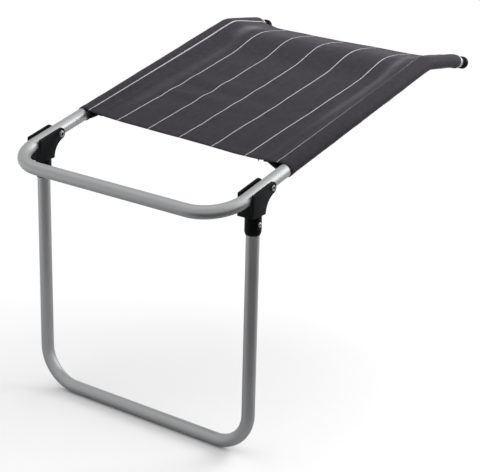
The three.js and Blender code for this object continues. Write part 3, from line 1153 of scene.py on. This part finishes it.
@dataclass
class Sling:
    """The cloth sling: a panel with a sleeve sewn round each side tube and a hem at each end.

    A run is a distance along the side tubes from the plane of the legs. Hang is (run, depth of
    the trough there). A noise is (scale in x, scale along the run, its own place), with scales
    per metre. The hem's rows are in shares of its depth.
    """

    lines: FrameLines
    thickness: float = 0.7 * MM
    clearance: float = 0.4 * MM
    front: float = 97 * MM
    skew: float = 9.5 * MM
    sleeve_tail: float = 105 * MM
    hem_hollow: float = 25 * MM
    hem_fade: float = 110 * MM
    seam_inset: float = 36 * MM
    seam_drop: float = 0.91 * MM
    seam_allowance: float = 8 * MM
    hang_start: float = 12 * MM
    hang_start_back: float = 3 * MM
    trough_power: float = 10.0
    hang: tuple[tuple[float, float], ...] = (
        (97 * MM, 6 * MM),
        (435 * MM, 18.5 * MM),
        (500 * MM, 12.8 * MM),
        (531 * MM, 13.8 * MM),
        (562 * MM, 12.2 * MM),
        (636 * MM, 13.5 * MM),
    )
    hem_depth: float = 12 * MM
    hem_lift: float = 0.45 * MM
    hem_reach: float = 15.6 * MM
    hem_rise: float = 3.0
    hem_rows: tuple[float, ...] = (0.08, 0.3, 0.65, 1.0)
    panel_rows: int = 112
    panel_columns: int = 54
    panel_crowding: float = 0.85
    wrap_columns: int = 26
    under_columns: int = 7
    flap_columns: int = 2
    crease_above: float = 60
    ripple: float = 1.1 * MM
    slow_noise: Place = (9, 13, 2.7)
    quick_noise: Place = (22, 34, 8.1)
    quick_share: float = 0.45
    fold_depth: float = 1.2 * MM
    fold_pitch: float = 64 * MM
    fold_run: float = 280 * MM
    fold_length: float = 75 * MM
    fold_place: float = -70 * MM
    fold_width: float = 110 * MM
    crease_inset: float = 19 * MM
    crease_depth: float = 0.9 * MM
    crease_width: float = 2.5 * MM
    ridge_height: float = 1.1 * MM
    ridge_width: float = 8 * MM
    pucker_depth: float = 0.5 * MM
    pucker_pitch: float = 9 * MM
    pucker_reach: float = 17 * MM
    wrinkle: float = 0.8 * MM
    wrinkle_noise: Place = (60, 42, 4.4)
    wrinkle_slant: float = 25 / 60
    seam_margin: float = 1 * MM
    stitch_pitch: float = 3.6 * MM
    stitch_length: float = 2.7 * MM
    stitch_inset: float = 9 * MM
    stitch_taper: float = 0.8
    thread_radius: float = 0.28 * MM
    thread_showing: float = 0.3
    sewn_round: float = 0.9
    loose_end_at: float = 166 * MM
    loose_end: float = 3.5 * MM
    loose_end_radius: float = 1.1 * MM
    line: BentLine = field(init=False)
    leg_plane: float = field(init=False)

    def __post_init__(self) -> None:
        """Lays out the seat frame's axis that the cloth follows."""
        self.line = self.lines.seat()
        self.leg_plane = self.lines.leg_plane_run(self.line)

    @property
    def radius(self) -> float:
        """From a side tube's axis to the middle of the cloth round it."""
        return self.lines.tube_radius + self.clearance + self.thickness / 2

    @property
    def back(self) -> float:
        """Run of the sleeves' back ends."""
        return self.lines.side_reach + self.sleeve_tail

    @property
    def seam_level(self) -> float:
        """Height of the seams above the tubes' axes."""
        return self.radius - self.seam_drop

    @property
    def seam(self) -> Vector:
        """The right seam's (x, height above the tubes' axes)."""
        return Vector((self.lines.half_width - self.seam_inset, self.seam_level))

    @property
    def leave_angle(self) -> float:
        """Where the cloth leaves the underside of the tube for the seam, as an angle round it."""
        tangent = math.acos(self.radius / math.hypot(self.seam_inset, self.seam_level))
        return tangent - math.atan2(self.seam_level, self.seam_inset) - math.pi

    @property
    def corner(self) -> Vector:
        """The (x, height) at which the cloth leaves the right tube."""
        turn, radius = self.leave_angle, self.radius
        return Vector((self.lines.half_width + radius * math.cos(turn), radius * math.sin(turn)))

    @property
    def wrap_length(self) -> float:
        """Length of cloth round one tube."""
        return self.radius * (math.pi / 2 - self.leave_angle)

    @property
    def under_length(self) -> float:
        """From where the cloth leaves the tube to the seam."""
        return (self.seam - self.corner).length

    @property
    def half_cut(self) -> float:
        """Half of the width that the cloth was cut to."""
        return self.lines.half_width + self.wrap_length + self.under_length + self.seam_allowance

    def section(self, across: float) -> tuple[float, float, float]:
        """Where a thread of the flat cloth comes to lie in the cross-section.

        Args:
            across: Distance from the cloth's middle in the flat.

        Returns:
            x, the height above the tubes' axes, and the angle of the cloth's outward normal.
        """
        side, far = math.copysign(1, across), abs(across)
        half = self.lines.half_width
        if far <= half:
            return across, self.radius, math.pi / 2
        far -= half
        if far <= self.wrap_length:
            turn = math.pi / 2 - far / self.radius
            x = half + self.radius * math.cos(turn)
            return side * x, self.radius * math.sin(turn), turn
        far -= self.wrap_length
        if far <= self.under_length:
            x, height = self.corner.lerp(self.seam, far / self.under_length)
            return side * x, height, self.leave_angle
        far -= self.under_length
        return side * (self.seam.x - far), self.seam.y, -math.pi / 2

    def sag(self, x: float, run: float) -> float:
        """How far the cloth hangs below its sleeves, like a trough.

        Args:
            x: Distance from the middle of the foot rest.
            run: Distance along the side tubes.

        Returns:
            The depth.
        """
        loosening = smooth((run - self.lines.side_reach) / (self.back - self.lines.side_reach))
        reach = self.lines.half_width - mix(self.hang_start, self.hang_start_back, loosening)
        share = 1 - min(1.0, abs(x) / reach) ** self.trough_power
        return share * curve_through(self.hang, run)

    def cloth_run(self, x: float, run: float) -> float:
        """Moves a place on the sleeves to where the cut of the cloth puts it.

        Args:
            x: Distance from the middle of the foot rest.
            run: The place on the sleeves.

        Returns:
            The run at x.
        """
        share = x / self.lines.half_width
        near_back = min(1.0, max(0.0, 1 - (self.back - run) / self.hem_fade))
        askew = self.skew * share * (self.back - run) / (self.back - self.front)
        return run - self.hem_hollow * max(0.0, 1 - share**2) * near_back - askew

    def ripples(self, x: float, run: float) -> float:
        """Small undulations and soft cross folds of the loose panel, nothing on the sleeves.

        Args:
            x: Distance from the middle of the foot rest.
            run: Distance along the side tubes.

        Returns:
            The height that they add.
        """
        loose = smooth((self.lines.half_width - self.seam_inset / 3 - abs(x)) / self.seam_inset)
        waves = waver(x, run, self.slow_noise) + self.quick_share * waver(x, run, self.quick_noise)
        along = run - self.fold_run
        fold = self.fold_depth * math.cos(math.tau * along / self.fold_pitch)
        fold *= bump(along, self.fold_length) * bump(x - self.fold_place, self.fold_width)
        return loose * (self.ripple * waves - fold)

    def relief(self, x: float, run: float) -> float:
        """The ridge over each seam allowance and the crease between it and the tube.

        Args:
            x: Distance from the middle of the foot rest.
            run: Distance along the side tubes.

        Returns:
            The height that they add.
        """
        off = self.lines.half_width - abs(x)
        deeper = smooth((run - self.front) / (self.lines.side_reach - self.front))
        crease = self.crease_depth * deeper * bump(off - self.crease_inset, self.crease_width)
        seam = self.seam_inset + self.seam_allowance / 2
        return self.ridge_height * bump(off - seam, self.ridge_width) - crease

    def pucker(self, turn: float, run: float) -> float:
        """Gathers of each sleeve on the inside of the back bend.

        Args:
            turn: Angle round the tube.
            run: Distance along the side tubes.

        Returns:
            Their height outwards.
        """
        under = max(0.0, -math.sin(turn))
        wave = (1 + math.cos(math.tau * run / self.pucker_pitch)) / 2
        near = bump(run - self.lines.side_reach, self.pucker_reach)
        return self.pucker_depth * under * wave * near

    def wrinkles(self, across: float, run: float) -> float:
        """Slight slanting wrinkles where the sleeves lie round the tubes.

        Args:
            across: Distance from the middle of the flat cloth.
            run: Distance along the side tubes.

        Returns:
            Their height outwards.
        """
        off = abs(across) - self.lines.half_width
        near = smooth((off + self.seam_inset / 2) / self.seam_inset)
        wave = waver(across - self.wrinkle_slant * run, run, self.wrinkle_noise)
        return self.wrinkle * near * max(0.0, wave)

    def place(self, across: float, run: float, lift: float = 0.0) -> Vector:
        """A point of the hanging cloth.

        Args:
            across: Distance from the middle of the flat cloth.
            run: Distance along the sleeves.
            lift: Distance outwards from the middle of the cloth.

        Returns:
            The point in the part's frame.
        """
        x, height, turn = self.section(across)
        at = self.cloth_run(x, run)
        point, heading = self.line.pose(self.leg_plane + at)
        height -= self.sag(x, at)
        if abs(across) <= self.lines.half_width:
            height += self.ripples(x, at) + self.relief(x, at)
        elif height < 0:
            lift += self.pucker(turn, at)
        lift += self.wrinkles(across, at)
        x += lift * math.copysign(1, across) * math.cos(turn)
        up = X_AXIS.cross(heading)
        return Vector((x, point.y, point.z)) + up * (height + lift * math.sin(turn))

    def stations(self) -> list[tuple[float, float, float]]:
        """Rows of cloth from the front hem's under edge to the back hem's.

        Returns:
            For each row its place along the flat cloth, its run and its lift.
        """
        lift, length = self.hem_lift, self.back - self.front
        under = [self.hem_depth * share for share in self.hem_rows]
        rows = [(-depth, self.front + depth, -lift) for depth in reversed(under)]
        rows.append((0.0, self.front - lift, 0.0))
        for i in range(self.panel_rows + 1):
            along = length * i / self.panel_rows
            hem = 1 - min(along, length - along, self.hem_reach) / self.hem_reach
            rows.append((lift + along, self.front + along, lift * smooth(self.hem_rise * hem)))
        end = length + 2 * lift
        rows.append((end, self.back + lift, 0.0))
        return rows + [(end + depth, self.back - depth, -lift) for depth in under]

    def columns(self) -> list[float]:
        """Threads across the cloth, closer where it turns round the tubes.

        Returns:
            Their distances from the cloth's middle, from left to right.
        """
        right = [
            self.lines.half_width * (i / self.panel_columns) ** self.panel_crowding
            for i in range(self.panel_columns + 1)
        ]
        for width, count in (
            (self.wrap_length, self.wrap_columns),
            (self.under_length, self.under_columns),
            (self.seam_allowance, self.flap_columns),
        ):
            start = right[-1]
            right += [start + width * (i + 1) / count for i in range(count)]
        return [-across for across in reversed(right[1:])] + right

    def cloth(self, material: Material) -> bpy.types.Object:
        """Wraps a flat grid of cloth round the tubes and gives it its thickness.

        Args:
            material: Its finish.

        Returns:
            The cloth, with its flat places in metres as its UV map.
        """
        columns, rows = self.columns(), self.stations()
        across_steps, along_steps = len(columns) - 1, len(rows) - 1
        bm = bmesh.new()
        bmesh.ops.create_grid(bm, x_segments=across_steps, y_segments=along_steps, size=1)
        uv = bm.loops.layers.uv.new("cut")
        for vert in bm.verts:
            across = columns[round((vert.co.x + 1) / 2 * across_steps)]
            along, run, lift = rows[round((vert.co.y + 1) / 2 * along_steps)]
            vert.co = self.place(across, run, lift)
            for loop in vert.link_loops:
                loop[uv].uv = (across, along)
        piece = finish_mesh("sling", bm, material, self.crease_above)
        solid = piece.modifiers.new("cloth thickness", "SOLIDIFY")
        solid.thickness, solid.offset, solid.use_even_offset = self.thickness, 0.0, True
        return piece

    def sewn_lines(self) -> list[tuple[float, list[tuple[float, float]]]]:
        """Where the hems and the seams are sewn.

        Returns:
            For each line its height over the cloth, and the (across, run) of each stitch's ends.
        """
        above = self.thickness / 2 + self.thread_radius * self.thread_showing
        edge = self.lines.half_width + self.radius * self.sewn_round
        steps = int(2 * edge / self.stitch_pitch)
        hems = [
            (above + self.hem_lift, [(mix(-edge, edge, i / steps), run) for i in range(steps + 1)])
            for run in (self.front + self.stitch_inset, self.back - self.stitch_inset)
        ]
        start, end = self.front + self.seam_margin, self.back - self.seam_margin
        steps = int((end - start) / self.stitch_pitch)
        seams = [
            (above, [(across, mix(start, end, i / steps)) for i in range(steps + 1)])
            for across in (-self.seam.x, self.seam.x)
        ]
        return hems + seams

    def stitching(self, material: Material) -> bpy.types.Object:
        """Lays a twist of thread along every stitch, and a loose end under the front hem.

        Args:
            material: The thread's finish.

        Returns:
            The stitching.
        """
        bm = bmesh.new()
        thick, thin = self.thread_radius, self.thread_radius * self.stitch_taper
        twist = {"radius1": thick, "radius2": thin, "segments": 6, "depth": self.stitch_length}
        for above, sewn in self.sewn_lines():
            points = [self.place(across, run, above) for across, run in sewn]
            for a, b in zip(points, points[1:]):
                middle = facing((a + b) / 2, b - a)
                bmesh.ops.create_cone(bm, cap_ends=True, matrix=middle, **twist)
        middle = self.place(self.loose_end_at, self.front) - Z_AXIS * self.loose_end / 2
        thick, thin = self.loose_end_radius, self.loose_end_radius / 2
        twist = {"radius1": thin, "radius2": thick, "segments": 8, "depth": self.loose_end}
        bmesh.ops.create_cone(bm, cap_ends=True, matrix=Matrix.Translation(middle), **twist)
        return finish_mesh("sling_stitching", bm, material)

    def build(self) -> None:
        """Makes the cloth and its seams."""
        cloth = self.cloth(SlingWeave().material())
        settle(cloth, Body.SEAT, Slot.CLOTH, "sling_cloth")
        seams = self.stitching(SewingThread().material())
        settle(seams, Body.SEAT, Slot.CLOTH)


def mirrored(sheet: NodeSheet, path: bpy.types.NodeOutputs) -> Socket:
    """The mask of rays that a shiny or clear surface sends on."""
    return sheet.math("MAXIMUM", path["Is Glossy Ray"], path["Is Transmission Ray"])


@dataclass(frozen=True)
class Softbox:
    """A soft square lamp, with its power in watts."""

    name: str
    at: Place
    aim: Place
    size: float
    power: float

    def build(self) -> None:
        """Adds the lamp to the scene."""
        data = bpy.data.lights.new(self.name, "AREA")
        data.shape, data.size, data.energy = "SQUARE", self.size, self.power
        lamp = put(self.name, data)
        lamp.location = self.at
        towards = Vector(self.aim) - Vector(self.at)
        lamp.rotation_euler = towards.to_track_quat("-Z", "Y").to_euler()


@dataclass
class Studio:
    """Pale floor, soft lamps and the camera at the photograph's angle.

    The floor has its own colour for the camera, and for light that bounces it is a table that
    ends in a darker room towards the right front. It turns white from near to far. The window is
    a bright part of the sky, and dim_side is where the sky is dimmer for the cloth.
    """

    lens: float = 120.265
    sensor: float = 36.0
    clip: tuple[float, float] = (0.05, 60)
    camera_at: Place = (1.566957, -1.910481, 1.280836)
    yaw: float = -0.6226133
    pitch: float = 0.3650456
    roll: float = -0.0231292
    floor_size: float = 14.0
    floor_roughness: float = 0.9
    floor_colour: Colour = (0.97, 0.97, 0.97, 1)
    floor_bounce: Colour = (0.57, 0.57, 0.58, 1)
    room: Colour = (0.1, 0.1, 0.104, 1)
    white: Colour = (1, 1, 1, 1)
    near: float = 0.45
    far: float = 1.25
    room_turn: float = math.radians(37)
    table_end: float = 0.14
    room_start: float = 0.5
    world_strength: float = 0.77
    window: Place = (0.56, 0.62, 0.56)
    window_strength: float = 0.8
    window_edge: float = math.cos(math.radians(60))
    window_heart: float = math.cos(math.radians(15))
    backdrop_top: float = 0.24
    dim_side: Place = (0.85, -0.5, 0)
    dim_from: float = 0.7
    dim_share: float = 0.42
    even_gain: float = 1.13
    lamps: tuple[Softbox, ...] = (
        Softbox("top softbox", (-1.2, -0.2, 3.2), (0, 0.2, 0.3), 3.2, 12),
        Softbox("back softbox", (0.8, 1.2, 1.05), (0.1, 0.45, 0.5), 0.8, 8),
    )

    def camera(self) -> None:
        """Sets the camera where the photograph was taken from."""
        data = bpy.data.cameras.new("camera")
        data.lens, data.sensor_width = self.lens, self.sensor
        data.clip_start, data.clip_end = self.clip
        ahead = Vector((math.sin(self.yaw), math.cos(self.yaw), 0))
        look = ahead * math.cos(self.pitch) - Z_AXIS * math.sin(self.pitch)
        right = Vector((math.cos(self.yaw), -math.sin(self.yaw), 0))
        down = look.cross(right)
        c, s = math.cos(self.roll), math.sin(self.roll)
        right, down = right * c + down * s, down * c - right * s
        turned = Matrix((right, -down, -look)).transposed().to_4x4()
        made = put("camera", data)
        made.matrix_world = Matrix.Translation(self.camera_at) @ turned
        bpy.context.scene.camera = made

    def floor(self) -> None:
        """A plain pale floor that keeps the foot rest's shadow."""
        material, sheet, shader = start_material("Studio floor")
        path = sheet.add("ShaderNodeLightPath").outputs
        camera, where = path["Is Camera Ray"], sheet.here
        seen = sheet.math("MAXIMUM", camera, mirrored(sheet, path))
        distant = sheet.ease(sheet.vector("LENGTH", where), self.near, self.far)
        towards = (math.cos(self.room_turn), -math.sin(self.room_turn), 0)
        ahead = sheet.vector("DOT_PRODUCT", where, towards)
        room = sheet.ease(ahead, self.table_end, self.room_start)
        lit = sheet.blend(room, self.floor_bounce, self.room)
        colour = sheet.blend(camera, lit, self.floor_colour)
        dull = {"Roughness": self.floor_roughness, "Specular IOR Level": 0.0}
        sheet.fill(shader, {"Base Color": colour, **dull})
        table = sheet.math("MAXIMUM", camera, sheet.math("SUBTRACT", 1.0, room))
        share = sheet.math("MULTIPLY", sheet.math("MULTIPLY", seen, distant), table)
        glow = sheet.add("ShaderNodeEmission", {"Color": self.white, "Strength": 1.0})
        mixed = {0: share, 1: shader.outputs[0], 2: glow.outputs[0]}
        mixed = sheet.add("ShaderNodeMixShader", mixed).outputs[0]
        sheet.fill(material.node_tree.nodes["Material Output"], {"Surface": mixed})
        bm = bmesh.new()
        bmesh.ops.create_grid(bm, x_segments=2, y_segments=2, size=self.floor_size)
        finish_mesh("studio_floor", bm, material)

    def world(self) -> None:
        """An even pale sky with a soft bright window behind the right side, and the backdrop.

        The camera sees plain white, and metal sees it near the horizon.
        """
        world = bpy.data.worlds.new("studio")
        world.use_nodes = True
        sheet = NodeSheet(world.node_tree)
        where = sheet.here
        path = sheet.add("ShaderNodeLightPath").outputs
        facing_window = sheet.vector("DOT_PRODUCT", where, Vector(self.window).normalized())
        glow = sheet.ease(facing_window, self.window_edge, self.window_heart)
        sky = sheet.math("MULTIPLY_ADD", glow, self.window_strength, self.world_strength)
        to_side = sheet.vector("DOT_PRODUCT", where, Vector(self.dim_side).normalized())
        dimmed = self.even_gain * self.dim_share
        uneven = sheet.ease(to_side, 0.0, self.dim_from, self.even_gain, dimmed)
        change = sheet.math("SUBTRACT", uneven, 1.0)
        change = sheet.math("MULTIPLY_ADD", change, path["Is Diffuse Ray"], 1.0)
        sky = sheet.math("MULTIPLY", sky, change)
        height = sheet.add("ShaderNodeSeparateXYZ", {0: where}).outputs[2]
        low = sheet.ease(height, self.backdrop_top, self.backdrop_top / 4)
        backdrop = sheet.math("MULTIPLY", mirrored(sheet, path), low)
        white = sheet.math("MAXIMUM", path["Is Camera Ray"], backdrop)
        missing = sheet.math("SUBTRACT", 1.0, sky)
        strength = sheet.math("MULTIPLY_ADD", white, missing, sky)
        background = world.node_tree.nodes["Background"]
        sheet.fill(background, {"Color": self.white, "Strength": strength})
        bpy.context.scene.world = world

    def build(self) -> None:
        """Makes the whole studio."""
        self.camera()
        self.floor()
        self.world()
        for lamp in self.lamps:
            lamp.build()
        bpy.context.scene.view_settings.view_transform = "Standard"


def main() -> None:
    """Builds the studio and every piece, in order."""
    Studio().build()
    for build_group in (uneven_tone_group, edge_wear_group, plain_weave_group):
        build_group()
    lines = FrameLines()
    plastic = MouldedPlastic().material()
    hinges = [Hinge(lines, side) for side in Side]
    metal = RivetMetal(bores=hinges[0].bores).material()
    Tubes(lines).build(AnodisedTube().material())
    for hinge in hinges:
        hinge.build(plastic, metal)
        EndPlug(lines, hinge.side).build(plastic)
    Sling(lines).build()


if __name__ == "__main__":
    main()
